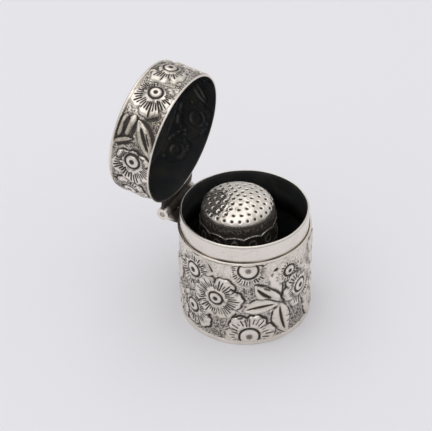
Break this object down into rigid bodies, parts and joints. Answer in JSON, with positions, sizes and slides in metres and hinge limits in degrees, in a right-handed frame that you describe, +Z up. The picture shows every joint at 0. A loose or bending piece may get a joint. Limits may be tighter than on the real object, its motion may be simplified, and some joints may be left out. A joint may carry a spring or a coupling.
{
  "type": "thimble holder",
  "caption": "Round embossed silver case with a hinged slip-on lid, holding one sewing thimble that stands in it dome up.",
  "frame": {"origin": "centre of the underside of the base plate, on the case's axis", "axes": "+Z up along the case's axis, -X towards the hinge, +Y along the hinge pin"},
  "size_m": [0.0351, 0.0254, 0.0478],
  "materials": {
    "embossed_silver": "raised silver with darkened recesses",
    "plain_silver": "worn polished silver, tarnished near-black inside",
    "hinge_silver": "tarnished silver",
    "thimble_silver": "polished silver with darkened dimples"
  },
  "bodies": {
    "case": {"base_wall": "embossed_silver", "base_plate": "plain_silver", "collar": "plain_silver", "case_leaf": "hinge_silver", "hinge_pin": "hinge_silver"},
    "lid": {"lid_wall": "embossed_silver", "lid_top": "embossed_silver", "lid_leaf": "hinge_silver"},
    "thimble": {"thimble": "thimble_silver"}
  },
  "joints": [
    {"name": "lid_hinge", "type": "hinge", "parent": "case", "child": "lid", "pos_m": [-0.0146, 0, 0.01975], "axis": [0, -1, 0], "range_deg": [-82, 0]},
    {"name": "thimble_lift", "type": "slide", "parent": "case", "child": "thimble", "axis": [0, 0, 1], "range_m": [0, 0.04]}
  ]
}
